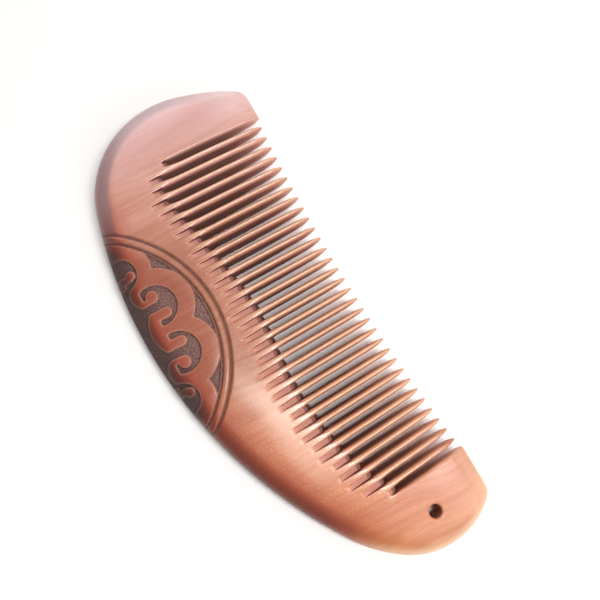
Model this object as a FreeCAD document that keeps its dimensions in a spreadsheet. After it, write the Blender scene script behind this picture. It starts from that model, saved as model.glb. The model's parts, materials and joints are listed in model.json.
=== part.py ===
"""Half-moon beard comb carved from one plank of wood.

Millimetres.  The comb lies flat on its rear face: +Z is the thickness, +X runs along the
tooth row towards the end with the hanging hole, +Y runs along the teeth towards their tips.
The origin is the bottom centre of the bounding box.

The wood is one piece.  It is written as a back, two end guards and thirty-two teeth that
meet face to face, so that every gap between two teeth stays open.
"""
import FreeCAD, Part
import math
import os
import Sketcher

Vector = FreeCAD.Vector

# ---------------------------------------------------------------- driving dimensions
# The outline is a chain of tangent arcs, given as radius and turn in order from the top of
# the plain guard, round the back, to the top of the guard with the hole.
OUTLINE_ARCS = (
    ("plain_corner", 3.6, 63.4),
    ("plain_end", 61.3, 12.9),
    ("plain_shoulder", 25.6, 87.0),
    ("spine", 112.0, 49.6),
    ("flank", 34.2, 21.4),
    ("nose", 19.6, 71.0),
    ("hole_corner", 3.9, 54.7),
)

DIMENSIONS = {
    "comb_thickness": 6.5,
    "rim_radius": 3.0,
    "outline_start_across": -53.38,
    "outline_start_along": 24.64,
    "tooth_count": 32,
    "tooth_pitch": 2.84,
    "gap_width": 1.42,
    "tooth_width": 1.42,
    "row_middle": -0.95,
    "tip_line_radius": 440.0,
    "tip_line_middle": -5.6,
    "tip_line_bottom": 22.3,
    "tip_taper_length": 3.6,
    "tip_flat_width": 0.5,
    "front_taper_start": 6.0,
    "front_taper_radius": 200.0,
    "rear_taper_start": 0.0,
    "rear_taper_radius": 100.0,
    "ramp_depth": 1.5,
    "ramp_length": 4.6,
    "wall_lean": 1.7,
    "guard_root_plain": -2.0,
    "guard_root_hole": 4.0,
    "hole_radius": 1.5,
    "hole_across": 53.4,
    "hole_along": 11.5,
    "ring_middle": -12.5,
    "ring_centre_along": -37.8,
    "ring_outer_radius": 30.0,
    "ring_inner_radius": 28.05,
    "ring_groove_radius": 0.45,
    "carving_depth": 0.7,
}

# Where the gaps end, as a smooth line through these (across, along) places: the first gap is
# short, the line dips, rises past the middle, dips again and climbs towards the hole.
GAP_END_LINE = (
    (-47.12, -0.7),
    (-43.6, -4.3),
    (-35.0, -5.2),
    (-20.8, -2.5),
    (-6.6, -0.6),
    (10.4, -1.9),
    (27.5, -0.7),
    (36.0, 1.8),
    (45.25, 6.6),
)

# The carved cloud scroll, mirrored about the middle of the ring: circles as
# (across from the middle, along, radius).  Raised scallops stand in the sunk ground; each
# scallop holds a sunk cap, and each cap holds the raised bulbs that curl into it.
SCALLOPS = ((5.95, -19.1, 8.1), (16.4, -23.1, 5.8))
CAPS = ((5.9, -19.35, 4.35), (15.4, -22.8, 3.2))
BULBS = ((8.1, -19.4, 1.65), (3.2, -18.3, 1.55), (14.0, -21.4, 1.05))

FAR = 90.0          # reaches past the comb on every side


def fill_sheet(sheet):
    """Write every driving dimension as plain text and name its cell."""
    values = dict(DIMENSIONS)
    for name, radius, turn in OUTLINE_ARCS:
        values[name + "_radius"] = radius
        values[name + "_turn"] = turn
    for row, (alias, value) in enumerate(values.items(), start=1):
        sheet.set("A%d" % row, alias)
        sheet.set("B%d" % row, str(value))
        sheet.setAlias("B%d" % row, alias)


doc = FreeCAD.newDocument("beard_comb")
sheet = doc.addObject("Spreadsheet::Sheet", "sizes")
fill_sheet(sheet)
doc.recompute()


def size(alias):
    return float(sheet.get(alias))


THICKNESS = size("comb_thickness")
PITCH = size("tooth_pitch")
TEETH = int(size("tooth_count"))
HALF_ROW = TEETH * PITCH / 2 + size("gap_width") / 2
ROW_LEFT = size("row_middle") - HALF_ROW
ROW_RIGHT = size("row_middle") + HALF_ROW


def origin_plane(body, role):
    return next(f for f in body.Origin.OriginFeatures if f.Role == role)


def new_sketch(body, role, name):
    sketch = body.newObject("Sketcher::SketchObject", name)
    sketch.AttachmentSupport = [(origin_plane(body, role), "")]
    sketch.MapMode = "FlatFace"
    return sketch


def bind(obj, prop, expression):
    obj.setExpression(prop, expression)


def bound_constraint(sketch, constraint, expression):
    index = sketch.addConstraint(constraint)
    sketch.setExpression("Constraints[%d]" % index, expression)


def outline_arcs():
    """The outline's arcs, each tangent to the one before it."""
    heading = math.pi
    point = Vector(size("outline_start_across"), size("outline_start_along"), 0)
    arcs = []
    for name, _, _ in OUTLINE_ARCS:
        radius = size(name + "_radius")
        turn = math.radians(size(name + "_turn"))
        centre = point + Vector(-math.sin(heading), math.cos(heading), 0) * radius
        start = heading - math.pi / 2
        circle = Part.Circle(centre, Vector(0, 0, 1), radius)
        arcs.append(Part.ArcOfCircle(circle, start, start + turn))
        heading += turn
        point = centre + Vector(math.cos(start + turn), math.sin(start + turn), 0) * radius
    return arcs


def tip_height(across):
    """Height along the comb of the line of tooth tips, a shallow hollow arc."""
    radius = size("tip_line_radius")
    run = across - size("tip_line_middle")
    return size("tip_line_bottom") + radius - math.sqrt(radius ** 2 - run ** 2)


def make_blank():
    """The plank sawn to the outline, with its rim rounded over on both faces."""
    body = doc.addObject("PartDesign::Body", "blank")
    sketch = new_sketch(body, "XY_Plane", "outline")
    arcs = outline_arcs()
    for arc in arcs:
        sketch.addGeometry(arc, False)
    for index in range(1, len(arcs)):
        sketch.addConstraint(Sketcher.Constraint("Tangent", index - 1, 2, index, 1))
    for index, (name, radius, _) in enumerate(OUTLINE_ARCS):
        expression = "sizes.%s_radius" % name
        bound_constraint(sketch, Sketcher.Constraint("Radius", index, radius), expression)

    plain_top = arcs[0].StartPoint
    hole_top = arcs[-1].EndPoint
    inner_plain = Vector(ROW_LEFT, plain_top.y, 0)
    inner_hole = Vector(ROW_RIGHT, hole_top.y, 0)
    middle = size("tip_line_middle")
    low_point = Vector(middle, tip_height(middle), 0)
    corners = (hole_top, inner_hole, low_point, inner_plain, plain_top)
    for start, end in zip(corners, corners[1:]):
        sketch.addGeometry(Part.LineSegment(start, end), False)
    lines = range(len(arcs), len(arcs) + len(corners) - 1)
    sketch.addConstraint(Sketcher.Constraint("Coincident", lines[0] - 1, 2, lines[0], 1))
    for index in lines[1:]:
        sketch.addConstraint(Sketcher.Constraint("Coincident", index - 1, 2, index, 1))
    sketch.addConstraint(Sketcher.Constraint("Coincident", lines[-1], 2, 0, 1))
    sketch.addConstraint(Sketcher.Constraint("Horizontal", lines[0]))
    sketch.addConstraint(Sketcher.Constraint("Horizontal", lines[-1]))

    pad = body.newObject("PartDesign::Pad", "plank")
    pad.Profile = sketch
    bind(pad, "Length", "sizes.comb_thickness")
    doc.recompute()

    radii = [size(name + "_radius") for name, _, _ in OUTLINE_ARCS]
    rim_edges = []
    for index, edge in enumerate(pad.Shape.Edges, start=1):
        flat = abs(edge.BoundBox.ZLength) < 1e-6
        if not flat or not isinstance(edge.Curve, Part.Circle):
            continue
        if min(abs(edge.Curve.Radius - radius) for radius in radii) < 1e-4:
            rim_edges.append("Edge%d" % index)
    rim = body.newObject("PartDesign::Fillet", "rim")
    rim.Base = (pad, rim_edges)
    bind(rim, "Radius", "sizes.rim_radius")
    body.Tip = rim
    return body


def taper_arc(face, surface, inwards, reach):
    """The arc in which one face leaves its flat and thins towards the tips."""
    start = size(face + "_taper_start")
    radius = size(face + "_taper_radius")
    angle = math.asin((reach - start) / radius)
    places = []
    for share in (0.0, 0.5, 1.0):
        along = start + radius * math.sin(angle * share)
        drop = radius * (1 - math.cos(angle * share))
        places.append(Vector(0, along, surface + inwards * drop))
    return places


def make_taper():
    """Side view of the comb: flat over the back, thinning to the tips on both faces."""
    reach = tip_height(ROW_RIGHT) + 1.0
    rear = taper_arc("rear", 0.0, 1, reach)
    front = taper_arc("front", THICKNESS, -1, reach)
    back_rear = Vector(0, -FAR, 0)
    back_front = Vector(0, -FAR, THICKNESS)
    edges = (
        Part.LineSegment(back_rear, rear[0]),
        Part.Arc(*rear),
        Part.LineSegment(rear[-1], front[-1]),
        Part.Arc(*reversed(front)),
        Part.LineSegment(front[0], back_front),
        Part.LineSegment(back_front, back_rear),
    )
    profile = Part.Face(Part.Wire([edge.toShape() for edge in edges]))
    profile.translate(Vector(-FAR, 0, 0))
    taper = doc.addObject("Part::Feature", "taper")
    taper.Shape = profile.extrude(Vector(2 * FAR, 0, 0))
    return taper


def gap_end_curve():
    curve = Part.BSplineCurve()
    curve.interpolate([Vector(across, along, 0) for across, along in GAP_END_LINE])
    return curve


def height_on(curve, across):
    """Height of the curve at a place across the comb, found by halving."""
    low, high = curve.FirstParameter, curve.LastParameter
    for _ in range(50):
        middle = (low + high) / 2
        if curve.value(middle).x < across:
            low = middle
        else:
            high = middle
    return curve.value(low).y


def make_back_region(curve):
    """Everything on the back's side of the line where the teeth and guards begin."""
    lean = Vector(0, size("wall_lean"), 0)
    root = curve.toShape()
    root.translate(lean)
    first = curve.StartPoint + lean
    last = curve.EndPoint + lean
    plain_root = size("guard_root_plain")
    hole_root = size("guard_root_hole")
    corners = (
        last,
        Vector(last.x, hole_root, 0),
        Vector(FAR, hole_root, 0),
        Vector(FAR, -FAR, 0),
        Vector(-FAR, -FAR, 0),
        Vector(-FAR, plain_root, 0),
        Vector(first.x, plain_root, 0),
        first,
    )
    edges = [root]
    for start, end in zip(corners, corners[1:]):
        edges.append(Part.LineSegment(start, end).toShape())
    region = doc.addObject("Part::Feature", "back_region")
    region.Shape = Part.Face(Part.Wire(edges)).extrude(Vector(0, 0, THICKNESS))
    return region


def make_gap_cuts(curve):
    """One saw cut for each gap: a ramp down from the front face, then a leaning end wall."""
    width = size("gap_width")
    cuts = []
    for number in range(TEETH + 1):
        across = size("row_middle") + (number - TEETH / 2) * PITCH
        along = height_on(curve, across)
        shelf = THICKNESS - size("ramp_depth")
        profile = Part.makePolygon([
            Vector(across - width / 2, along - size("ramp_length"), THICKNESS),
            Vector(across - width / 2, along, shelf),
            Vector(across - width / 2, along + size("wall_lean"), 0),
            Vector(across - width / 2, along + 2 * size("ramp_length"), 0),
            Vector(across - width / 2, along + 2 * size("ramp_length"), THICKNESS),
            Vector(across - width / 2, along - size("ramp_length"), THICKNESS),
        ])
        cuts.append(Part.Face(profile).extrude(Vector(width, 0, 0)))
    gaps = doc.addObject("Part::Feature", "gap_cuts")
    gaps.Shape = Part.makeCompound(cuts)
    return gaps


def make_ring_grooves():
    """Two parallel arcs cut in the front face round the carving."""
    grooves = []
    for name in ("ring_outer_radius", "ring_inner_radius"):
        groove = doc.addObject("Part::Torus", name.replace("radius", "groove"))
        bind(groove, "Radius1", "sizes.%s" % name)
        bind(groove, "Radius2", "sizes.ring_groove_radius")
        bind(groove, "Placement.Base.x", "sizes.ring_middle")
        bind(groove, "Placement.Base.y", "sizes.ring_centre_along")
        bind(groove, "Placement.Base.z", "sizes.comb_thickness")
        grooves.append(groove)
    return grooves


def scroll_discs(circles, bottom, height):
    """Upright discs for the given circles on both sides of the ring's middle."""
    discs = []
    for offset, along, radius in circles:
        for side in (-1, 1):
            place = Vector(size("ring_middle") + side * offset, along, bottom)
            discs.append(Part.makeCylinder(radius, height, place))
    return discs[0].fuse(discs[1:])


def make_scroll():
    """The sunk ground of the carving, one shallow pocket in the front face."""
    depth = size("carving_depth")
    bottom = THICKNESS - depth
    inside = size("ring_inner_radius") - size("ring_groove_radius")
    centre = Vector(size("ring_middle"), size("ring_centre_along"), bottom)
    field = Part.makeCylinder(inside, depth, centre)
    scallops = scroll_discs(SCALLOPS, bottom, depth)
    caps = scroll_discs(CAPS, bottom, depth)
    bulbs = scroll_discs(BULBS, bottom, depth)
    scroll = doc.addObject("Part::Feature", "scroll_ground")
    scroll.Shape = field.cut(scallops).fuse(caps).cut(bulbs)
    return scroll


def make_box(name, across, along, width, length):
    box = doc.addObject("Part::Box", name)
    box.Placement.Base = Vector(across, along, 0)
    box.Width = length
    box.Length = width
    bind(box, "Height", "sizes.comb_thickness")
    return box


def combine(kind, name, base, tool):
    result = doc.addObject(kind, name)
    result.Label = name
    result.Base = base
    result.Tool = tool
    return result


def make_tooth_plan(number, across, root):
    """A tooth seen from the front: straight sides, then two curves that meet at the tip."""
    half = size("tooth_width") / 2
    flat = size("tip_flat_width") / 2
    tip = tip_height(across)
    shoulder = tip - size("tip_taper_length")
    bow = Vector(0.62 * (half - flat) + flat, tip - 0.42 * (tip - shoulder), 0)
    body = doc.addObject("PartDesign::Body", "plan_%02d" % number)
    body.Placement.Base = Vector(across, 0, 0)
    sketch = new_sketch(body, "XY_Plane", "tooth_outline_%02d" % number)
    right_shoulder = Vector(half, shoulder, 0)
    right_tip = Vector(flat, tip, 0)
    left_tip = Vector(-flat, tip, 0)
    left_shoulder = Vector(-half, shoulder, 0)
    left_root = Vector(-half, root, 0)
    right_root = Vector(half, root, 0)
    left_bow = Vector(-bow.x, bow.y, 0)
    sketch.addGeometry(Part.LineSegment(left_root, right_root), False)
    sketch.addGeometry(Part.LineSegment(right_root, right_shoulder), False)
    sketch.addGeometry(Part.Arc(right_shoulder, bow, right_tip), False)
    sketch.addGeometry(Part.LineSegment(right_tip, left_tip), False)
    sketch.addGeometry(Part.Arc(left_tip, left_bow, left_shoulder), False)
    sketch.addGeometry(Part.LineSegment(left_shoulder, left_root), False)
    sketch.addConstraint(Sketcher.Constraint("Coincident", 0, 2, 1, 1))
    sketch.addConstraint(Sketcher.Constraint("Coincident", 5, 2, 0, 1))
    sketch.addConstraint(Sketcher.Constraint("Horizontal", 0))
    sketch.addConstraint(Sketcher.Constraint("Vertical", 1))
    sketch.addConstraint(Sketcher.Constraint("Vertical", 5))
    bound_constraint(sketch, Sketcher.Constraint("DistanceX", 0, 1, 0, 2, 2 * half),
                     "sizes.tooth_width")
    bound_constraint(sketch, Sketcher.Constraint("DistanceX", 3, 2, 3, 1, 2 * flat),
                     "sizes.tip_flat_width")
    pad = body.newObject("PartDesign::Pad", "tooth_blank_%02d" % number)
    pad.Profile = sketch
    bind(pad, "Length", "sizes.comb_thickness")
    body.Tip = pad
    return body


def make_teeth(curve, taper, back_region):
    """Every tooth, cut from its own plan, thinned by the taper and ended at the back."""
    teeth = []
    for number in range(1, TEETH + 1):
        across = size("row_middle") + (number - (TEETH + 1) / 2) * PITCH
        root = height_on(curve, across) - size("wall_lean")
        plan = make_tooth_plan(number, across, root)
        thinned = combine("Part::Common", "thinned_%02d" % number, plan, taper)
        teeth.append(combine("Part::Cut", "tooth_%02d" % number, thinned, back_region))
    return teeth


def make_guards(comb_form):
    """The solid ends beside the first and last gap, one of them with the hanging hole."""
    plain_root = size("guard_root_plain")
    hole_root = size("guard_root_hole")
    plain_box = make_box("plain_zone", -FAR, plain_root, ROW_LEFT + FAR, FAR)
    hole_box = make_box("hole_zone", ROW_RIGHT, hole_root, FAR, FAR)
    plain = combine("Part::Common", "end_guard_plain", comb_form, plain_box)
    undrilled = combine("Part::Common", "undrilled_guard", comb_form, hole_box)
    drill = doc.addObject("Part::Cylinder", "hanging_hole")
    bind(drill, "Radius", "sizes.hole_radius")
    bind(drill, "Height", "sizes.comb_thickness")
    bind(drill, "Placement.Base.x", "sizes.hole_across")
    bind(drill, "Placement.Base.y", "sizes.hole_along")
    drilled = combine("Part::Cut", "end_guard_hole", undrilled, drill)
    return [plain, drilled]


def make_back(comb_form, back_region, curve):
    """The spine of the comb, with the gap ends, the ring and the carving cut into it."""
    result = combine("Part::Common", "uncut_back", comb_form, back_region)
    result = combine("Part::Cut", "sawn_back", result, make_gap_cuts(curve))
    for number, groove in enumerate(make_ring_grooves(), start=1):
        result = combine("Part::Cut", "ringed_back_%d" % number, result, groove)
    return combine("Part::Cut", "back", result, make_scroll())


blank = make_blank()
taper = make_taper()
comb_form = combine("Part::Common", "comb_form", blank, taper)
gap_ends = gap_end_curve()
back_region = make_back_region(gap_ends)
pieces = [make_back(comb_form, back_region, gap_ends)]
pieces += make_guards(comb_form)
pieces += make_teeth(gap_ends, taper, back_region)
doc.recompute()

failed = [obj.Label for obj in doc.Objects if {"Invalid", "Error"} & set(obj.State)]
if failed:
    raise RuntimeError("failed objects: " + ", ".join(failed))
for piece in pieces:
    if piece.Shape.isNull() or not piece.Shape.isValid():
        raise RuntimeError("bad shape: " + piece.Label)
    if len(piece.Shape.Solids) != 1:
        raise RuntimeError("%s has %d solids" % (piece.Label, len(piece.Shape.Solids)))

os.makedirs("parts", exist_ok=True)
whole = FreeCAD.BoundBox()
for piece in pieces:
    piece.Shape.exportStep("parts/%s.step" % piece.Label)
    whole.add(piece.Shape.BoundBox)
print("bounding box", whole)
print("volume of the wood, mm3: %.0f" % sum(piece.Shape.Volume for piece in pieces))
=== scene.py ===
"""Looks of the half-moon beard comb: one carved wooden comb on a pale floor."""

import math

import bpy
import numpy as np
import openvdb
from mathutils import Matrix, Vector
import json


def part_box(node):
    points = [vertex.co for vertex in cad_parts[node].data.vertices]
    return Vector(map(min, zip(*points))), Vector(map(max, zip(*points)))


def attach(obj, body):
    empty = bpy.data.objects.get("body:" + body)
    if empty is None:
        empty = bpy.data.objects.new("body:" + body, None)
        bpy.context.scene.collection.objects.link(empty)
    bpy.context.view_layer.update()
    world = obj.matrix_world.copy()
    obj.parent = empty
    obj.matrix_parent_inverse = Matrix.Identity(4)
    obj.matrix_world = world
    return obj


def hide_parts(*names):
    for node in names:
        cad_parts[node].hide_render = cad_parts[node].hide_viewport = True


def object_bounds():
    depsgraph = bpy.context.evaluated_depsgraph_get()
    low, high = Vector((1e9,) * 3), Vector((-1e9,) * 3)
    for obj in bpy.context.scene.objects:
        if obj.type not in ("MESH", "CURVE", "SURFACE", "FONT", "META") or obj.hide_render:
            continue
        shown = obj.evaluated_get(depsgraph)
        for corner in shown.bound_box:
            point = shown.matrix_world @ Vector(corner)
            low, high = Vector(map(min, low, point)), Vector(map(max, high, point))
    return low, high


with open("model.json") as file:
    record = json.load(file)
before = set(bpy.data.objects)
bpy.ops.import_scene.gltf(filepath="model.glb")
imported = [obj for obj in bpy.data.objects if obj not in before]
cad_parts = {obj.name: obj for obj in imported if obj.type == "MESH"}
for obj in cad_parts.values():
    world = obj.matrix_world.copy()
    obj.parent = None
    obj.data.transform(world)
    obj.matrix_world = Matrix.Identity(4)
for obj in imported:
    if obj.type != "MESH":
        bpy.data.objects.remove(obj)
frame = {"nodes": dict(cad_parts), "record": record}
cad_low, cad_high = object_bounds()

MM = 0.001                      # metres in a millimetre; the comb is worked out in millimetres

# ---------------------------------------------------------------- sizes from the CAD model, in mm
THICKNESS = (cad_high.z - cad_low.z) / MM
TOOTH_BOXES = [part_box(name) for name in sorted(frame["nodes"]) if name.startswith("tooth_")]
TOOTH_ACROSS = np.array([(low.x + high.x) / 2 / MM for low, high in TOOTH_BOXES])
TOOTH_TIPS = np.array([high.y / MM for low, high in TOOTH_BOXES])
PITCH = (TOOTH_ACROSS[-1] - TOOTH_ACROSS[0]) / (len(TOOTH_ACROSS) - 1)
GAPS_ACROSS = np.append(TOOTH_ACROSS - PITCH / 2, TOOTH_ACROSS[-1] + PITCH / 2)
LAST_GAP = len(GAPS_ACROSS) - 1
ROW_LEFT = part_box("end_guard_plain")[1].x / MM
ROW_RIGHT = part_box("end_guard_hole")[0].x / MM
PLAIN_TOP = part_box("end_guard_plain")[1].y / MM
HOLE_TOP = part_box("end_guard_hole")[1].y / MM
HOLE = next(mount for mount in frame["record"]["mounts"] if mount["name"] == "hanging_hole")

# ---------------------------------------------------------------- sizes of the finished surface, in mm
# Outline: tangent arcs as (radius, turn in degrees) from the top of the plain guard round the
# back to the top of the guard with the hole.
OUTLINE_START = (-53.38, PLAIN_TOP)
OUTLINE_ARCS = ((3.6, 63.4), (61.3, 12.9), (25.6, 87.0), (112.0, 49.6),
                (34.2, 21.4), (19.6, 71.0), (3.9, 54.7))

FRONT_TAPER = (6.0, 200.0)      # where each face leaves its flat, and the radius it bends on
REAR_TAPER = (0.0, 100.0)
CROWN_WIDTH = 14.0              # how far in from the outline the front starts to fall
GUARD_BEVEL = 0.06              # slope of the guards' fronts near their tops
GUARD_BEVEL_LENGTH = 4.2
RIM_SHARE = 0.6                 # the rim's round-over is this share of the thickness
RIM_EXTRA = 1.0                 # and this much more
RIM_NARROWING = 0.36            # and gets narrower by this share towards the guard tops

TOOTH_EASE = 0.03               # taken off each side of a tooth
TIP_TAPER = 5.2                 # length over which a tooth gets narrower
TIP_THINNING = 3.6              # length over which it gets thinner
CREST_DROP = 0.42               # from the middle line of a tooth's front to its sides

GAP_WIDTH = 1.42
# The line through the ends of the gaps, as (across, along), and each ramp's length by gap number.
GAP_END_LINE = ((-47.12, -0.7), (-43.6, -4.3), (-35.0, -5.2), (-20.8, -2.5), (-6.6, -0.6),
                (10.4, -1.9), (27.5, -0.7), (36.0, 1.8), (45.25, 6.6))
RAMP_LENGTHS = ((0, 1.2), (1, 3.2), (4, 4.1), (9, 4.4), (14, 6.0), (26, 5.2), (31, 6.4), (32, 1.6))
RAMP_DEPTH = 1.5
RAMP_NARROWING = 0.17           # taken off each side of a ramp at its shallow end
WALL_LEAN = 1.7                 # how far a gap's end wall leans from the ramp to the rear face
WALL_BULGE = 0.25               # how far its middle stands into the gap

# The ring's centre and radii, and the scroll inside it.
RING_ACROSS = -12.5
RING_ALONG = -37.8
RING_OUTER = 30.0
RING_INNER = 28.05
GROOVES = ((RING_OUTER, 0.5), (RING_INNER, 0.42))       # radius and half width
GROOVE_DEPTH = 0.6
BAND_SWELL = 0.12               # how far the band between the grooves stands up
SCROLL_EDGE = RING_INNER - 0.3
LIP_DROP = 0.08                 # how far the edges of the raised parts are eased
SCROLL_TURN = math.radians(2.1)
CARVING_DEPTH = 0.7
HOLE_ROUNDING = 0.6

VOXEL = 0.2
MARGIN = 0.8
TRIANGLES = 195000


# ---------------------------------------------------------------- small helpers
def smoothstep(low, high, value):
    """A soft step from 0 at low to 1 at high; low may be the larger of the two."""
    t = np.clip((value - low) / (high - low), 0.0, 1.0)
    return t * t * (3.0 - 2.0 * t)


def soft_max(a, b, width):
    """The larger of two fields, with the corner between them rounded over."""
    blend = np.maximum(width - np.abs(a - b), 0.0) / width
    return np.maximum(a, b) + blend * blend * (width / 4)


def disc(off, up, centre_off, centre_up, radius):
    """A disc, negative inside."""
    return np.hypot(off - centre_off, up - centre_up) - radius


def slab(off, up, left, right, bottom, top):
    """A rectangle, negative inside."""
    return np.maximum(np.maximum(left - off, off - right), np.maximum(bottom - up, up - top))


def smooth_line(points, places):
    """Heights of a natural cubic through a few (across, along) points."""
    x = np.array([p[0] for p in points])
    y = np.array([p[1] for p in points])
    step = np.diff(x)
    slope = np.diff(y) / step
    size = len(x)
    matrix = np.eye(size)
    right = np.zeros(size)
    for i in range(1, size - 1):
        matrix[i, i - 1:i + 2] = step[i - 1], 2 * (step[i - 1] + step[i]), step[i]
        right[i] = 6 * (slope[i] - slope[i - 1])
    bend = np.linalg.solve(matrix, right)
    i = np.clip(np.searchsorted(x, places) - 1, 0, size - 2)
    t = places - x[i]
    first = slope[i] - step[i] * (2 * bend[i] + bend[i + 1]) / 6
    return y[i] + first * t + bend[i] / 2 * t ** 2 + (bend[i + 1] - bend[i]) / (6 * step[i]) * t ** 3


# ---------------------------------------------------------------- the comb's outline and thickness
def chain_of_arcs():
    """Centre, first angle, turn and radius of each outline arc, and the chain's last point."""
    heading = math.pi
    point = np.array(OUTLINE_START)
    arcs = []
    for radius, degrees in OUTLINE_ARCS:
        turn = math.radians(degrees)
        start = heading - math.pi / 2
        centre = point - radius * np.array([math.cos(start), math.sin(start)])
        arcs.append((centre, start, turn, radius))
        heading += turn
        point = centre + radius * np.array([math.cos(start + turn), math.sin(start + turn)])
    return arcs, point


ARCS, OUTLINE_END = chain_of_arcs()


def inward(across, along):
    """Distance inwards from the outline's arcs and the flat guard tops, negative outside."""
    nearest = np.full(np.broadcast(across, along).shape, 99.0)
    for centre, start, turn, radius in ARCS:
        dx = across - centre[0]
        dy = along - centre[1]
        beside = np.mod(np.arctan2(dy, dx) - start, 2 * math.pi) <= turn
        depth = radius - np.hypot(dx, dy)
        nearest = np.where(beside & (np.abs(depth) < np.abs(nearest)), depth, nearest)
    flats = ((OUTLINE_START[0], ROW_LEFT, PLAIN_TOP), (ROW_RIGHT, OUTLINE_END[0], HOLE_TOP))
    for left, right, top in flats:
        aside = np.maximum(np.maximum(left - across, across - right), 0.0)
        depth = np.hypot(aside, top - along) * np.sign(top - along)
        nearest = np.where(np.abs(depth) < np.abs(nearest), depth, nearest)
    return nearest


def taper(face, along):
    """How far a face has bent towards the other one."""
    start, radius = face
    return radius - np.sqrt(radius ** 2 - np.maximum(along - start, 0.0) ** 2)


def faces(across, along, depth):
    """Heights of the front and rear faces before any cut, at a depth inwards from the outline."""
    swell = (0.4 + 0.9 * smoothstep(-50, -20, across)) * smoothstep(8, -8, along)
    crown = swell * np.clip(1 - depth / CROWN_WIDTH, 0.0, 1.0) ** 2
    top = np.where(across < 0, PLAIN_TOP, HOLE_TOP)
    on_guard = (across < ROW_LEFT) | (across > ROW_RIGHT)
    bevel = GUARD_BEVEL * on_guard * np.maximum(along - (top - GUARD_BEVEL_LENGTH), 0.0)
    front = THICKNESS - taper(FRONT_TAPER, along) - crown - bevel
    rear = taper(REAR_TAPER, along)
    return front, rear


# ---------------------------------------------------------------- the carving
def scroll(across, along):
    """The sunk ground of the cloud scroll, negative inside it. Both halves are alike."""
    dx = across - RING_ACROSS
    dy = along - RING_ALONG
    off = np.abs(dx * math.cos(SCROLL_TURN) - dy * math.sin(SCROLL_TURN))
    up = dx * math.sin(SCROLL_TURN) + dy * math.cos(SCROLL_TURN)
    field = np.hypot(off, up) - SCROLL_EDGE

    # The raised cloud: two discs a side, carried on to the ring's ends, with lobes hanging below.
    raised = np.minimum(disc(off, up, 6.0, 18.55, 8.35), disc(off, up, 16.0, 16.3, 5.1))
    raised = np.minimum(raised, np.maximum(18.0 - off, up - 17.5))
    raised = np.minimum(raised, 19.8 - off)
    lobes = np.minimum(disc(off, up, 0.0, 22.0, 7.8), disc(off, up, 9.6, 17.7, 3.9))
    lobes = np.minimum(lobes, np.minimum(16.5 - up, 12.3 - off))
    raised = np.maximum(raised, lobes)

    # Sunk in it are the large curls: a disc with a finger and a bulb left standing, and a stem.
    cap = disc(off, up, 5.8, 18.1, 4.75)
    inner_finger = disc(off, up, 3.6, 19.65, 1.2)
    inner_finger = np.minimum(inner_finger, slab(off, up, 2.4, 4.8, 0.0, 19.65))
    inner_fill = np.maximum(up - 17.5, off - 4.8)
    outer_bulb = np.minimum(disc(off, up, 8.1, 18.15, 1.45), slab(off, up, 6.5, 7.9, 0.0, 18.15))
    outer_fill = np.maximum(up - 16.1, 6.5 - off)
    for part in (inner_finger, inner_fill, outer_bulb, outer_fill):
        cap = soft_max(cap, -part, 0.5)
    stem = slab(off, up, 4.8, 6.5, 0.0, 18.0)

    # The small curls beside them.
    small_cap = disc(off, up, 15.55, 14.05, 3.75)
    small_cap = np.minimum(small_cap, slab(off, up, 12.2, 18.8, 0.0, 14.0))
    small_bulb = np.minimum(disc(off, up, 14.6, 16.1, 1.1), slab(off, up, 13.3, 14.9, 0.0, 16.1))
    small_fill = slab(off, up, 10.0, 14.9, 0.0, 14.2)
    for part in (small_bulb, small_fill):
        small_cap = soft_max(small_cap, -part, 0.4)
    for part in (cap, stem, small_cap):
        raised = soft_max(raised, -part, 0.3)
    return soft_max(field, -raised, 0.2)


def carving(across, along):
    """How far the front face is cut down by the ring and the scroll."""
    from_centre = np.hypot(across - RING_ACROSS, along - RING_ALONG)
    ground = scroll(across, along)
    depth = CARVING_DEPTH * smoothstep(0.06, -0.28, ground)
    depth = depth + LIP_DROP * np.exp(-np.maximum(ground, 0.0) / 0.5) * (ground > -0.4)
    for radius, width in GROOVES:
        depth = np.maximum(depth, GROOVE_DEPTH * np.clip(1 - np.abs(from_centre - radius) / width, 0, 1))
    between = (RING_OUTER + RING_INNER) / 2
    half = (RING_OUTER - RING_INNER) / 2
    return depth - BAND_SWELL * np.clip(1 - ((from_centre - between) / half) ** 2, 0, 1)


# ---------------------------------------------------------------- the tooth row
def gap_index(across):
    """The number of the nearest gap."""
    return np.clip(np.rint((across - GAPS_ACROSS[0]) / PITCH), 0, LAST_GAP).astype(int)


def ramp_lengths(gap):
    """Lengths of the ramps, which vary a little from cut to cut."""
    wander = 0.25 * np.sin(gap * 2.4) + 0.15 * np.sin(gap * 5.1)
    return np.interp(gap, *zip(*RAMP_LENGTHS)) * (1 + 0.5 * wander)


def gap_ends(gap):
    """Where the ramps end and the gaps go right through."""
    return smooth_line(GAP_END_LINE, GAPS_ACROSS)[gap] + 0.12 * np.sin(gap * 3.7)


def to_tip(across, along):
    """Distance along from the end of the nearest tooth, positive on the tooth."""
    tooth = np.clip(np.rint((across - TOOTH_ACROSS[0]) / PITCH), 0, len(TOOTH_TIPS) - 1)
    return TOOTH_TIPS[tooth.astype(int)] - along


def tooth_half_width(tip):
    """Half the width of a tooth at a distance from its end."""
    narrow = np.maximum(1 - np.clip(1 - tip / TIP_TAPER, 0, 1) ** 2.6, 0)
    return np.where(tip > 0, ((PITCH - GAP_WIDTH) / 2 - TOOTH_EASE) * narrow ** 0.57, tip)


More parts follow.
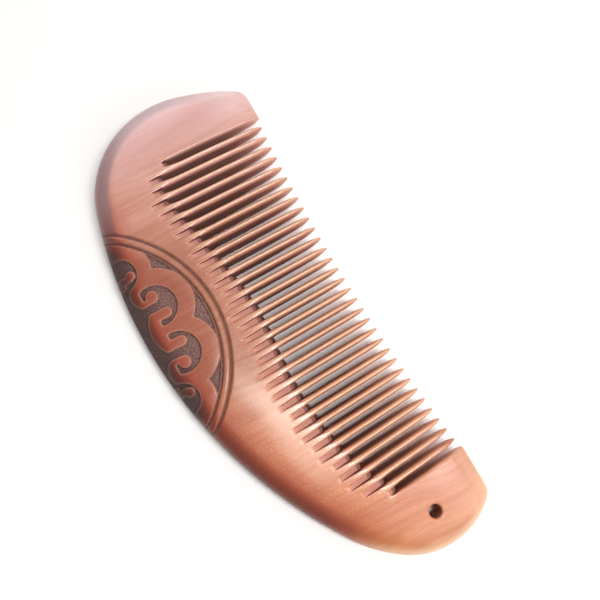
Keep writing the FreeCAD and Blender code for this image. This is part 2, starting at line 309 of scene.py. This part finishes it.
def tooth_crest(across, along):
    """How far the front of each tooth falls away on both sides of its middle line."""
    gap = gap_index(across)
    aside = PITCH / 2 - np.abs(across - GAPS_ACROSS[gap])
    on_row = (across > ROW_LEFT) & (across < ROW_RIGHT)
    share = np.clip(2 * aside / (PITCH - GAP_WIDTH), 0, 1) ** 1.5
    return CREST_DROP * on_row * share * smoothstep(-1.5, 4.0, along - gap_ends(gap))


def hole_distance(across, along):
    """Distance from the middle of the hanging hole."""
    return np.hypot(across - HOLE["pos_m"][0] / MM, along - HOLE["pos_m"][1] / MM)


def plank_field(across, along, z, tip):
    """The carved plank with its rim and tooth crests, before the gaps are cut."""
    depth = inward(across, along)
    front, rear = faces(across, along, depth)
    in_row = (across > ROW_LEFT) & (across < ROW_RIGHT)
    thin = np.sqrt(np.clip(1 - np.clip(1 - tip / TIP_THINNING, 0, 1) ** 2.2, 0.03, 1))
    thin = np.where(in_row, thin, 1.0)
    middle = ((front + rear) / 2)[:, :, None]
    half = ((front - rear) / 2 * thin)[:, :, None]

    # The rim is an elliptical round-over, which falls away sooner at the plain end.
    narrowing = 1 - RIM_NARROWING * smoothstep(8.0, 20.0, along)
    rim_width = (RIM_SHARE * (front - rear) + RIM_EXTRA) * narrowing
    rim = np.maximum(1 - depth / rim_width, 0.0)
    power = 2.0 - 0.6 * smoothstep(-30, -45, across)
    edge = (rim ** power)[:, :, None]
    lift = z[None, None, :] - middle
    cut = (carving(across, along) + tooth_crest(across, along))[:, :, None]
    level = np.where(lift > 0, np.maximum(lift + cut, 0.0), -lift) / half
    return half * (np.sqrt(edge + level ** 2) - 1)


def saw_cuts(x, along, z, tip):
    """The gaps, positive inside, with ramps and leaning end walls, and how round their edges are."""
    gap = gap_index(x)
    from_gap = x - GAPS_ACROSS[gap]
    room = np.where((np.abs(from_gap) < PITCH)[:, None], PITCH / 2 - tooth_half_width(tip), 0.0)
    outer = ((gap == 0) & (from_gap < 0)) | ((gap == LAST_GAP) & (from_gap > 0))
    room = np.where(outer[:, None], GAP_WIDTH / 2, room)
    past_end = along - gap_ends(gap)[:, None]
    length = ramp_lengths(gap)[:, None]
    room = room - RAMP_NARROWING * smoothstep(0.0, 1.0, -past_end / length)
    beside = room - np.abs(from_gap)[:, None]

    bulge = WALL_BULGE * np.clip(1 - (2 * from_gap / GAP_WIDTH) ** 2, 0, 1)
    shelf = THICKNESS - RAMP_DEPTH
    down = np.clip((THICKNESS - z) / RAMP_DEPTH, 0, 1)
    wall = (gap_ends(gap) + bulge)[:, None] - length * (1 - down[None, :]) ** 0.85
    wall = wall - length * np.maximum(z - THICKNESS, 0)[None, :]
    wall = wall + WALL_LEAN * np.clip((shelf - z) / shelf, 0, 1)[None, :]
    slope = np.where(z > shelf, 0.3, 0.9)[None, None, :]
    beyond = (along[:, :, None] - wall[:, None, :]) * slope
    rounding = (0.16 + 0.6 * smoothstep(-1.0, 4.0, past_end))[:, :, None]
    return np.minimum(beside[:, :, None], beyond), rounding


def comb_field(x, y, z):
    """Negative inside the wood, in mm, on the grid of the three axes."""
    across = x[:, None]
    along = y[None, :]
    tip = to_tip(across, along)
    wood = plank_field(across, along, z, tip)
    slot, rounding = saw_cuts(x, along, z, tip)
    wood = soft_max(wood, slot, rounding)
    bore = HOLE["dims"]["r_mm"] - hole_distance(across, along)
    return soft_max(wood, bore[:, :, None], HOLE_ROUNDING)


# ---------------------------------------------------------------- masks for the finish and the painted light and shade
def carving_masks(across, along, depth, on_front):
    """Stained ground and grooves, raised parts, painted shade towards the spine and in the grooves, and
    the lips of the carving.
    """
    from_centre = np.hypot(across - RING_ACROSS, along - RING_ALONG)
    ground = scroll(across, along)
    stain = smoothstep(0.14, -0.1, ground)
    groove = np.zeros_like(across)
    for radius, _ in GROOVES:
        groove = np.maximum(groove, np.exp(-((from_centre - radius) / 0.26) ** 2))
    inside = smoothstep(RING_INNER + 0.5, RING_INNER - 3.0, from_centre)
    # Painted shade: darker towards the spine edge inside the ring.
    edge_and_groove_shade = np.maximum(smoothstep(8.0, 1.5, depth) * stain, smoothstep(4.5, 0.5, depth))
    # The lips are paler partly from wear and partly from painted highlight.
    lip = np.exp(-(np.maximum(ground, 0.0) / 0.22) ** 2) * (ground > 0.02)
    return {
        "stain": on_front * np.maximum(stain, 0.9 * groove),
        "carved": on_front * inside * smoothstep(-0.1, 0.1, ground),
        "edge_and_groove_shade": np.maximum(inside * edge_and_groove_shade, 0.5 * groove),
    }, 0.4 * on_front * inside * lip


def row_masks(across, along, below, buried, on_front):
    """Ramps, painted shade on their steep side walls, polished teeth, painted shade on the gap walls and
    in the hole, and a painted highlight band below the gaps.
    """
    gap = gap_index(across)
    from_gap = np.abs(across - GAPS_ACROSS[gap])
    past_end = along - gap_ends(gap)
    shallow = below < RAMP_DEPTH + 0.3
    in_slot = (from_gap < GAP_WIDTH / 2 + 0.12) & (past_end > -ramp_lengths(gap) - 0.3)
    ramp = in_slot * shallow * smoothstep(0.0, 0.3, below) * smoothstep(0.9, 0.5, past_end)
    # Painted shade on the ramps' steep side walls.
    ramp_wall_shade = smoothstep(-0.8, -0.1, past_end + ramp_lengths(gap)) * smoothstep(0.6, 0.0, past_end)
    ramp_wall_shade = ramp_wall_shade * smoothstep(0.02, 0.12, below) * (from_gap < GAP_WIDTH / 2 + 0.3)

    in_row = (across > ROW_LEFT - 0.3) & (across < ROW_RIGHT + 0.3) & (past_end > -4.0)
    # Painted shade on the gap walls, lighter towards the tips, and in the hanging hole.
    gap_shade = in_row * smoothstep(0.3, 1.1, buried) * (past_end > -0.6)
    gap_shade = gap_shade * (0.3 + 0.7 * smoothstep(0.0, 14.0, to_tip(across, along)))
    in_hole = hole_distance(across, along) < HOLE["dims"]["r_mm"] + 0.15
    # Painted highlight: a band on the front below the ramps, right of the ring.
    highlight_band = smoothstep(-12, -7, past_end) * smoothstep(0, -4, past_end)
    highlight_band = highlight_band * smoothstep(4, 19, across) * smoothstep(43, 27, across)
    return {
        "ramp": ramp,
        "ramp_wall_shade": ramp_wall_shade * shallow,
        "polish": in_row * smoothstep(-4.0, 0.0, past_end),
        "gap_shade": np.maximum(gap_shade, in_hole * smoothstep(0.3, 0.8, buried)),
        "highlight_band": on_front * (1 - ramp) * highlight_band,
    }


def rim_masks(across, along, depth, on_front):
    """Painted shade towards the spine, the rim, and a painted highlight on the edge and top of the guard
    with the hole.
    """
    plain_rim = smoothstep(4.2, 2.6, depth)
    back_rim = smoothstep(9.0, 0.0, depth) * smoothstep(56, 40, across)
    # Painted highlight on the edge and top of the guard with the hole.
    guard_edge = on_front * smoothstep(2.8, 0.6, depth) * smoothstep(46, 60, across)
    guard_top = 0.45 * (across > ROW_RIGHT) * smoothstep(HOLE_TOP - 6.0, HOLE_TOP - 1.5, along)
    # Painted shade: darker red towards the spine.
    spine = smoothstep(8.5, 1.5, depth) * smoothstep(-46, -36, across) * smoothstep(54, 40, across)
    return {
        "spine": spine,
        "rim": np.where(across < -35, plain_rim, back_rim),
        "wear_and_highlight": np.maximum(guard_edge, guard_top),
    }


def finish_and_light_masks(across, along, height):
    """Where the wood is stained, cut by the saw or rubbed, and where painted shade and painted
    highlights go, at points on the surface.
    """
    depth = inward(across, along)
    front, rear = faces(across, along, depth)
    below = front - height
    buried = np.minimum(below, height - rear)
    on_front = smoothstep(0.35, 0.6, (height - rear) / (front - rear))
    masks, lip = carving_masks(across, along, depth, on_front)
    masks.update(row_masks(across, along, below, buried, on_front))
    masks.update(rim_masks(across, along, depth, on_front))
    # The carving's lips join the guard's painted highlight: partly wear, partly painted highlight.
    masks["wear_and_highlight"] = np.maximum(masks["wear_and_highlight"], lip)
    return masks


# ---------------------------------------------------------------- the mesh
def field_at(field, places):
    """Trilinear samples of the grid at places given in voxels."""
    base = np.floor(places).astype(int)
    base = np.clip(base, 0, np.array(field.shape) - 2)
    share = places - base
    total = np.zeros(len(places))
    for i in (0, 1):
        for j in (0, 1):
            for k in (0, 1):
                weight = np.abs(1 - i - share[:, 0]) * np.abs(1 - j - share[:, 1])
                weight = weight * np.abs(1 - k - share[:, 2])
                total += weight * field[base[:, 0] + i, base[:, 1] + j, base[:, 2] + k]
    return total


def field_normals(field, places):
    """Outward directions of the surface, from the slope of the field."""
    normals = np.empty((len(places), 3))
    for axis in range(3):
        step = np.zeros(3)
        step[axis] = 0.6
        normals[:, axis] = field_at(field, places + step) - field_at(field, places - step)
    return normals / np.maximum(np.linalg.norm(normals, axis=1, keepdims=True), 1e-9)


def make_comb():
    """The comb's surface as one mesh, with a mask for each kind of finish and of painted light and
    shade.
    """
    low = np.array(cad_low) / MM - MARGIN
    high = np.array(cad_high) / MM + MARGIN
    axes = [np.arange(a, b, VOXEL) for a, b in zip(low, high)]
    band = 3 * VOXEL
    field = np.clip(comb_field(*axes), -band, band).astype(np.float32)
    grid = openvdb.FloatGrid(band)
    grid.copyFromArray(field)
    points, triangles, quads = grid.convertToPolygons(isovalue=0.0, adaptivity=0.0)
    points = (points * VOXEL + low) * MM
    mesh = bpy.data.meshes.new("comb")
    mesh.vertices.add(len(points))
    mesh.vertices.foreach_set("co", points.astype(np.float32).ravel())
    mesh.loops.add(4 * len(quads))
    mesh.loops.foreach_set("vertex_index", quads.astype(np.int32).ravel())
    mesh.polygons.add(len(quads))
    mesh.polygons.foreach_set("loop_start", np.arange(0, 4 * len(quads), 4, dtype=np.int32))
    mesh.update(calc_edges=True)
    comb = bpy.data.objects.new("comb", mesh)
    bpy.context.collection.objects.link(comb)

    shrink = comb.modifiers.new("fewer_faces", "DECIMATE")
    shrink.ratio = TRIANGLES / (2 * len(quads))
    bpy.context.view_layer.objects.active = comb
    bpy.ops.object.modifier_apply(modifier=shrink.name)

    mesh = comb.data
    mesh.polygons.foreach_set("use_smooth", np.ones(len(mesh.polygons), bool))
    places = np.empty(3 * len(mesh.vertices), np.float32)
    mesh.vertices.foreach_get("co", places)
    places = places.reshape(-1, 3) / MM
    for name, values in finish_and_light_masks(*places.T.astype(float)).items():
        mask = mesh.attributes.new(name, "FLOAT", "POINT")
        mask.data.foreach_set("value", np.clip(values, 0, 1).astype(np.float32))
    mesh.normals_split_custom_set_from_vertices(field_normals(field, (places - low) / VOXEL))
    return comb


# ---------------------------------------------------------------- the colours
def linear(red, green, blue):
    """A colour given as 0-255 screen values."""
    values = []
    for value in (red / 255, green / 255, blue / 255):
        values.append(value / 12.92 if value <= 0.04045 else ((value + 0.055) / 1.055) ** 2.4)
    return (*values, 1.0)


# The plank from its plain end to the end with the hole, as shares of its length. The palest pink at the
# plain end is partly a painted highlight.
PLANK_SPAN = (-62.0, 62.0)
PLANK = ((0.00, linear(234, 195, 199)), (0.14, linear(217, 160, 144)),
         (0.28, linear(202, 136, 110)), (0.45, linear(201, 133, 100)),
         (0.62, linear(208, 137, 96)), (0.78, linear(213, 139, 95)),
         (0.92, linear(219, 143, 100)), (1.00, linear(217, 147, 100)))
TIPS = linear(248, 188, 166)
# painted highlight at the top of the plain end
PLAIN_END_HIGHLIGHT = linear(250, 232, 234)
FIBRE = linear(168, 100, 78)
PORE = linear(120, 70, 56)

# Tints, which multiply the colour below them.
# painted shade for the middle of the body below the gaps
MIDDLE_SHADE = linear(227, 219, 212)
WARM_TINT = linear(250, 224, 196)
FIGURE_TINT = linear(244, 233, 228)
STREAK_TINT = linear(241, 230, 224)
CARVED_TINT = linear(236, 197, 183)

# Painted highlight, shade and sheen, with wear, stain and saw marks.
# painted highlight along the tooth crests
RIDGE_HIGHLIGHT = linear(255, 212, 158)
# painted highlight in a band below the gaps
HIGHLIGHT_BAND = linear(244, 192, 164)
# painted shade towards the spine and on its edge
SPINE_SHADE = linear(174, 68, 40)
SPINE_EDGE_SHADE = linear(112, 52, 38)
# painted sheen on the plain end's rim, darker low down
PLAIN_RIM_SHEEN_LOW = linear(166, 130, 130)
PLAIN_RIM_SHEEN_HIGH = linear(188, 162, 165)
RAMP_FACE = linear(226, 160, 142)
SAW_MARK = linear(176, 104, 90)
# painted shade on the ramps' steep side walls
RAMP_WALL_SHADE = linear(118, 56, 48)
# paler edges: wear on the carving's lips, painted highlight on the guard with the hole
WEAR_AND_HIGHLIGHT = linear(252, 212, 172)
GROUND_DARK = linear(92, 62, 57)
GROUND_LIGHT = linear(142, 101, 91)
# painted shade near the spine and in the grooves
EDGE_AND_GROOVE_SHADE = linear(68, 46, 44)
# painted shade on the gap walls and in the hole
GAP_SHADE = linear(122, 80, 74)

PAPER = (0.985, 0.965, 0.945, 1.0)      # not a screen value


# ---------------------------------------------------------------- short ways to add shader nodes
class Nodes:
    """The node tree of one material."""

    def __init__(self, material):
        material.use_nodes = True
        self.tree = material.node_tree
        self.surface = self.tree.nodes["Principled BSDF"]

    def add(self, kind, **settings):
        made = self.tree.nodes.new(kind)
        for name, value in settings.items():
            setattr(made, name, value)
        return made

    def put(self, socket, value):
        if isinstance(value, bpy.types.NodeSocket):
            self.tree.links.new(value, socket)
        else:
            socket.default_value = value

    def math(self, operation, *values):
        made = self.add("ShaderNodeMath", operation=operation)
        for socket, value in zip(made.inputs, values):
            self.put(socket, value)
        return made.outputs[0]

    def times(self, first, second):
        return self.math("MULTIPLY", first, second)

    def split(self, vector):
        made = self.add("ShaderNodeSeparateXYZ")
        self.put(made.inputs[0], vector)
        return made.outputs

    def scaled(self, vector, scale):
        made = self.add("ShaderNodeMapping")
        self.put(made.inputs["Vector"], vector)
        self.put(made.inputs["Scale"], scale)
        return made.outputs[0]

    def noise(self, vector, scale, detail=3.0, distortion=0.0):
        made = self.add("ShaderNodeTexNoise")
        self.put(made.inputs["Vector"], vector)
        for name, value in (("Scale", scale), ("Detail", detail), ("Roughness", 0.55),
                            ("Distortion", distortion)):
            self.put(made.inputs[name], value)
        return made.outputs["Fac"]

    def spread(self, value, low, high, to_low=0.0, to_high=1.0, kind="SMOOTHSTEP"):
        made = self.add("ShaderNodeMapRange", interpolation_type=kind)
        for index, item in enumerate((value, low, high, to_low, to_high)):
            self.put(made.inputs[index], item)
        return made.outputs[0]

    def mix(self, factor, first, second, blend="MIX"):
        made = self.add("ShaderNodeMix", data_type="RGBA", blend_type=blend)
        self.put(made.inputs[0], factor)
        self.put(made.inputs[6], first)
        self.put(made.inputs[7], second)
        return made.outputs[2]

    def tinted(self, factor, colour, tint):
        return self.mix(factor, colour, self.mix(1.0, colour, tint, "MULTIPLY"))

    def ramp(self, factor, stops):
        made = self.add("ShaderNodeValToRGB")
        self.put(made.inputs[0], factor)
        elements = made.color_ramp.elements
        while len(elements) < len(stops):
            elements.new(0.5)
        for element, (position, colour) in zip(elements, stops):
            element.position = position
            element.color = colour
        return made.outputs[0]

    def mask(self, name, strength=1.0):
        made = self.add("ShaderNodeAttribute", attribute_name=name)
        return self.times(made.outputs["Fac"], strength)


# ---------------------------------------------------------------- the wood
def grain_patterns(nodes, point):
    """Figure, streaks, fibres and pores. The grain runs along the teeth and wanders a little."""
    wander = nodes.add("ShaderNodeCombineXYZ")
    nodes.put(wander.inputs[0], nodes.noise(point, 0.035, detail=1.0))
    shifted = nodes.add("ShaderNodeVectorMath", operation="MULTIPLY_ADD")
    for socket, value in zip(shifted.inputs, (wander.outputs[0], (9.0, 0.0, 0.0), point)):
        nodes.put(socket, value)
    place = shifted.outputs[0]
    figure = nodes.noise(nodes.scaled(place, (0.16, 0.02, 0.10)), 1.0, detail=2.0, distortion=0.6)
    streaks = nodes.noise(nodes.scaled(place, (1.1, 0.05, 0.6)), 1.0)
    fibres = nodes.noise(nodes.scaled(place, (7.0, 0.35, 4.0)), 1.0, detail=2.0)
    pores = nodes.noise(nodes.scaled(place, (5.0, 0.7, 3.0)), 1.0, detail=1.0)
    return figure, streaks, fibres, nodes.spread(pores, 0.70, 0.78)


def bare_wood(nodes, across, along, figure, streaks, fibres, pore):
    """The plank's colour, with painted shade in the middle below the gaps and a painted highlight at the
    top of the plain end, before the other finishes.
    """
    colour = nodes.ramp(nodes.spread(across, *PLANK_SPAN, kind="LINEAR"), PLANK)
    # Painted shade: the middle of the body below the gaps is darkened.
    middle = nodes.times(nodes.spread(across, -40.0, -26.0), nodes.spread(across, 16.0, 2.0))
    middle = nodes.times(middle, nodes.spread(along, -3.0, -9.0))
    colour = nodes.tinted(middle, colour, MIDDLE_SHADE)
    colour = nodes.mix(nodes.spread(along, 10.0, 27.0, 0.0, 0.4), colour, TIPS)
    # Painted highlight: the top of the plain end is washed paler.
    plain_end_highlight = nodes.times(nodes.spread(across, -46.0, -57.0), nodes.spread(along, 10.0, 22.0))
    colour = nodes.mix(nodes.times(plain_end_highlight, 0.6), colour, PLAIN_END_HIGHLIGHT)
    warm = nodes.times(nodes.spread(across, 5.0, 30.0), nodes.spread(along, 12.0, -10.0))
    colour = nodes.tinted(warm, colour, WARM_TINT)

    # The grain, which is calmer at the plain end.
    strength = nodes.spread(across, -56.0, -40.0, 0.3, 1.0)
    colour = nodes.tinted(nodes.spread(figure, 0.38, 0.66), colour, FIGURE_TINT)
    colour = nodes.tinted(nodes.times(strength, nodes.spread(streaks, 0.35, 0.70)), colour, STREAK_TINT)
    fibrous = nodes.times(strength, nodes.spread(fibres, 0.45, 0.75, 0.0, 0.22))
    colour = nodes.mix(fibrous, colour, FIBRE)
    return nodes.mix(nodes.times(pore, 0.25), colour, PORE)


def ridge_highlight(nodes, across, upward):
    """The middle line of each tooth, where a painted highlight lightens the crest on faces turned
    upwards.
    """
    low = TOOTH_ACROSS[0] - PITCH / 2
    within = nodes.math("WRAP", across, low + PITCH, low)
    aside = nodes.math("ABSOLUTE", nodes.math("SUBTRACT", within, TOOTH_ACROSS[0]))
    line = nodes.times(nodes.mask("polish"), nodes.spread(aside, 0.36, 0.08))
    return nodes.times(line, nodes.spread(upward, 0.5, 0.8, 0.0, 0.42))


def handled_wood(nodes, colour, across, along):
    """Painted highlights on the tooth crests and in a band below the gaps, painted dark red shade
    towards the spine and on its edge, and a greyer painted sheen on the plain rim.
    """
    normal = nodes.split(nodes.add("ShaderNodeNewGeometry").outputs["Normal"])
    # Painted highlight along each tooth's crest.
    colour = nodes.mix(ridge_highlight(nodes, across, normal[2]), colour, RIDGE_HIGHLIGHT)
    # Painted highlight in a band below the gaps.
    colour = nodes.mix(nodes.mask("highlight_band", 0.5), colour, HIGHLIGHT_BAND)
    # Painted shade: darker red towards the spine.
    colour = nodes.mix(nodes.mask("spine", 0.84), colour, SPINE_SHADE)
    # Painted shade: the rim's edge is darker where it turns towards the spine side, away from the light.
    away_from_light = nodes.spread(normal[1], 0.05, -0.45)
    colour = nodes.mix(nodes.times(nodes.mask("rim", 0.92), away_from_light), colour, SPINE_EDGE_SHADE)
    # Painted sheen: a greyish reflection on the plain end's rounded rim, darker lower down.
    plain_rim = nodes.times(nodes.mask("rim"), nodes.spread(across, -32.0, -46.0))
    plain_rim = nodes.times(plain_rim, nodes.spread(along, 22.0, 2.0, 0.1, 0.75))
    rim_sheen = nodes.mix(nodes.spread(along, -20.0, 0.0), PLAIN_RIM_SHEEN_LOW, PLAIN_RIM_SHEEN_HIGH)
    return nodes.mix(plain_rim, colour, rim_sheen)


def worked_wood(nodes, colour, saw_marks, stipple):
    """The carving, the ramps and their saw marks, painted shade on the ramps' side walls, edges paler
    from wear and painted highlight, the stain, painted shade near the spine and in the grooves, and
    painted shade on the gap walls.
    """
    colour = nodes.tinted(nodes.mask("carved", 0.9), colour, CARVED_TINT)
    colour = nodes.mix(nodes.mask("ramp", 0.7), colour, RAMP_FACE)
    colour = nodes.mix(nodes.times(saw_marks, 0.3), colour, SAW_MARK)
    normal = nodes.split(nodes.add("ShaderNodeNewGeometry").outputs["Normal"])
    # Painted shade on the ramps' steep side walls.
    side_wall = nodes.spread(nodes.math("ABSOLUTE", normal[0]), 0.35, 0.8)
    colour = nodes.mix(nodes.times(nodes.mask("ramp_wall_shade"), side_wall), colour, RAMP_WALL_SHADE)
    # Paler edges: wear on the carving's lips, painted highlight on the guard with the hole.
    colour = nodes.mix(nodes.mask("wear_and_highlight", 0.65), colour, WEAR_AND_HIGHLIGHT)
    ground = nodes.mix(nodes.spread(stipple, 0.35, 0.66), GROUND_DARK, GROUND_LIGHT)
    colour = nodes.mix(nodes.mask("stain"), colour, ground)
    # Painted shade near the spine and in the grooves.
    colour = nodes.mix(nodes.mask("edge_and_groove_shade", 0.8), colour, EDGE_AND_GROOVE_SHADE)
    # Painted shade on the gap walls and in the hole.
    return nodes.mix(nodes.mask("gap_shade", 0.7), colour, GAP_SHADE)


def put_gloss(nodes, streaks):
    """Polished teeth and a thin coat of oil, with raw wood on ramps, stain and gap walls."""
    rough = nodes.spread(streaks, 0.3, 0.7, 0.36, 0.46)
    rough = nodes.math("SUBTRACT", rough, nodes.mask("polish", 0.12))
    for name, amount in (("stain", 0.3), ("ramp", 0.3), ("carved", 0.1), ("gap_shade", 0.5)):
        rough = nodes.math("ADD", rough, nodes.mask(name, amount))
    bare = nodes.math("MAXIMUM", nodes.mask("ramp"), nodes.spread(nodes.mask("gap_shade"), 0.0, 0.3))
    bare = nodes.math("MAXIMUM", bare, nodes.mask("stain"))
    bare = nodes.math("MAXIMUM", bare, nodes.mask("carved", 0.8))
    gloss = nodes.spread(nodes.mask("polish"), 0.0, 1.0, 0.3, 1.0)
    nodes.put(nodes.surface.inputs["Roughness"], rough)
    nodes.put(nodes.surface.inputs["Specular IOR Level"], 0.6)
    nodes.put(nodes.surface.inputs["Coat Weight"], nodes.times(gloss, nodes.math("SUBTRACT", 1.0, bare)))
    nodes.put(nodes.surface.inputs["Coat Roughness"], 0.2)


def put_relief(nodes, point, fibres, pore, saw_marks, stipple):
    """Fibres, pores and pebbles everywhere, dots in the ground, saw marks on the ramps."""
    pebbles = nodes.noise(point, 3.0, detail=2.0)
    dots = nodes.times(stipple, nodes.mask("stain"))
    relief = nodes.times(fibres, 0.5)
    for pattern, height in ((pebbles, 2.3), (pore, -0.5), (dots, 2.0), (saw_marks, -0.6)):
        relief = nodes.math("ADD", relief, nodes.times(pattern, height))
    bump = nodes.add("ShaderNodeBump")
    nodes.put(bump.inputs["Strength"], 0.6)
    nodes.put(bump.inputs["Distance"], 0.06 * MM)
    nodes.put(bump.inputs["Height"], relief)
    nodes.put(nodes.surface.inputs["Normal"], bump.outputs[0])


def saw_lines(nodes, point):
    """Fine wavy lines across the ramps."""
    saw = nodes.add("ShaderNodeTexWave", wave_type="BANDS", bands_direction="Y")
    nodes.put(saw.inputs["Vector"], point)
    for name, value in (("Scale", 0.6), ("Distortion", 4.0), ("Detail Scale", 1.5)):
        nodes.put(saw.inputs[name], value)
    return nodes.times(nodes.mask("ramp"), saw.outputs["Fac"])


def make_wood():
    """The oiled wood, with painted light and shade. Its patterns use places in mm, and its finish and
    painted light use the mesh's masks.
    """
    wood = bpy.data.materials.new("oiled_wood")
    nodes = Nodes(wood)
    place = nodes.add("ShaderNodeTexCoord").outputs["Object"]
    point = nodes.scaled(place, (1 / MM, 1 / MM, 1 / MM))
    across, along, _ = nodes.split(point)
    figure, streaks, fibres, pore = grain_patterns(nodes, point)
    saw_marks = saw_lines(nodes, point)
    stipple = nodes.noise(point, 3.2, detail=1.0)
    colour = bare_wood(nodes, across, along, figure, streaks, fibres, pore)
    colour = handled_wood(nodes, colour, across, along)
    nodes.put(nodes.surface.inputs["Base Color"], worked_wood(nodes, colour, saw_marks, stipple))
    put_gloss(nodes, streaks)
    put_relief(nodes, point, fibres, pore, saw_marks, stipple)
    return wood


comb = make_comb()
comb.data.materials.append(make_wood())
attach(comb, "root")
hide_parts(*frame["nodes"])


# ---------------------------------------------------------------- floor, light, camera
def paper_floor():
    bpy.ops.mesh.primitive_plane_add(size=3.0, location=(0, 0, cad_low.z))
    floor = bpy.context.object
    floor.name = "floor"
    paper = bpy.data.materials.new("paper")
    nodes = Nodes(paper)
    nodes.put(nodes.surface.inputs["Base Color"], PAPER)
    nodes.put(nodes.surface.inputs["Roughness"], 0.7)
    floor.data.materials.append(paper)


def studio_sky():
    """A white sky, dimmer straight overhead and on the side of the comb's back."""
    world = bpy.data.worlds.new("studio")
    bpy.context.scene.world = world
    world.use_nodes = True
    nodes = world.node_tree.nodes
    link = world.node_tree.links.new
    sky = nodes["Background"]
    sky.inputs["Color"].default_value = (1, 1, 1, 1)
    towards = nodes.new("ShaderNodeSeparateXYZ")
    link(nodes.new("ShaderNodeTexCoord").outputs["Generated"], towards.inputs[0])
    both = nodes.new("ShaderNodeMath")
    both.operation = "MULTIPLY"
    fades = (("Z", (0.45, 0.9, 0.38, 0.3)), ("Y", (-0.8, 0.3, 0.45, 1.0)))
    for socket, (axis, values) in zip(both.inputs, fades):
        fade = nodes.new("ShaderNodeMapRange")
        link(towards.outputs[axis], fade.inputs[0])
        for place, value in zip(fade.inputs[1:5], values):
            place.default_value = value
        link(fade.outputs[0], socket)
    link(both.outputs[0], sky.inputs["Strength"])


def soft_light(name, place, aim, width, length, power):
    data = bpy.data.lights.new(name, "AREA")
    data.shape = "RECTANGLE"
    data.size = width
    data.size_y = length
    data.energy = power
    light = bpy.data.objects.new(name, data)
    light.location = place
    light.rotation_euler = (Vector(aim) - Vector(place)).to_track_quat("-Z", "Y").to_euler()
    bpy.context.collection.objects.link(light)


CAMERA_PLACE = Vector((0.00769, -0.01936, 0.1299))
CAMERA_AIM = Vector((-0.00330, 0.01034, 0.0025))
CAMERA_ROLL = math.radians(39.56)


def make_camera():
    data = bpy.data.cameras.new("camera")
    data.sensor_width = 36.0
    data.lens = 33.0
    data.clip_start = 0.01
    camera = bpy.data.objects.new("camera", data)
    level = (CAMERA_AIM - CAMERA_PLACE).to_track_quat("-Z", "Y").to_matrix().to_4x4()
    roll = Matrix.Rotation(CAMERA_ROLL, 4, "Z")
    camera.matrix_world = Matrix.Translation(CAMERA_PLACE) @ level @ roll
    bpy.context.collection.objects.link(camera)
    bpy.context.scene.camera = camera


paper_floor()
studio_sky()
soft_light("overhead", (0.078, 0.080, 0.38), (0.02, 0.0, 0.0), 0.046, 0.28, 1.08)
soft_light("right", (0.50, 0.12, 0.28), (0.0, 0.0, 0.0), 0.3, 0.3, 0.9)
soft_light("left", (-0.50, 0.12, 0.28), (0.0, 0.0, 0.0), 0.6, 0.5, 1.36)
make_camera()
bpy.context.scene.view_settings.view_transform = "Standard"
